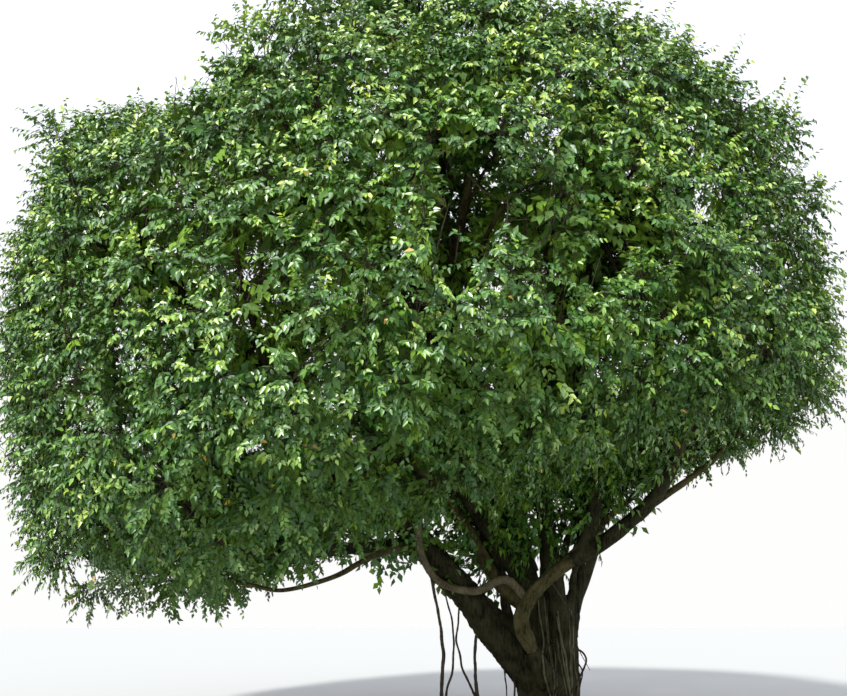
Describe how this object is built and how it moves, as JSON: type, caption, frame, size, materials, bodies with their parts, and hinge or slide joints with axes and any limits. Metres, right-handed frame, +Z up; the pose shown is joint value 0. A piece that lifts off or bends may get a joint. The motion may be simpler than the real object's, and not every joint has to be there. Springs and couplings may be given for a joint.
{
  "type": "weeping fig tree",
  "caption": "Broad, dense weeping fig tree rooted in the ground, with a fluted low-forking trunk, spreading boughs, hanging aerial roots and a domed crown of foliage.",
  "frame": {"origin": "middle of the flat cut under the trunk, at ground level", "axes": "+Z up; the side that is best seen faces -Y; +X is to the viewer's right, and the crown leans to -X"},
  "size_m": [9.7127, 8.6044, 8.2675],
  "materials": {
    "bark": "rough dark bark",
    "pale_bark": "smoother pale bark",
    "foliage": "glossy green leaves"
  },
  "bodies": {
    "root": {"aerial_root_1": "pale_bark", "aerial_root_2": "pale_bark", "aerial_root_3": "pale_bark", "aerial_root_4": "pale_bark", "aerial_root_5": "pale_bark", "back_bough": "bark", "bough_to_belt_1": "bark", "bough_to_belt_2": "bark", "bough_to_belt_4": "bark", "bough_to_belt_6": "bark", "bough_to_shoulder_1": "bark", "bough_to_shoulder_3": "bark", "bough_to_shoulder_4": "bark", "bough_to_shoulder_5": "bark", "bough_to_shoulder_6": "bark", "bough_to_skirt_3": "bark", "bough_to_skirt_4": "bark", "bough_to_skirt_5": "bark", "bough_to_skirt_6": "bark", "bough_to_skirt_7": "bark", "foliage_belt_1": "foliage", "foliage_belt_2": "foliage", "foliage_belt_3": "foliage", "foliage_belt_4": "foliage", "foliage_belt_5": "foliage", "foliage_belt_6": "foliage", "foliage_belt_7": "foliage", "foliage_shoulder_1": "foliage", "foliage_shoulder_2": "foliage", "foliage_shoulder_3": "foliage", "foliage_shoulder_4": "foliage", "foliage_shoulder_5": "foliage", "foliage_shoulder_6": "foliage", "foliage_skirt_1": "foliage", "foliage_skirt_2": "foliage", "foliage_skirt_3": "foliage", "foliage_skirt_4": "foliage", "foliage_skirt_5": "foliage", "foliage_skirt_6": "foliage", "foliage_skirt_7": "foliage", "foliage_top_1": "foliage", "leader": "bark", "left_bough": "bark", "middle_stem": "bark", "pale_arm": "pale_bark", "right_bough": "bark", "right_stem": "bark", "trunk": "bark"}
  },
  "joints": []
}
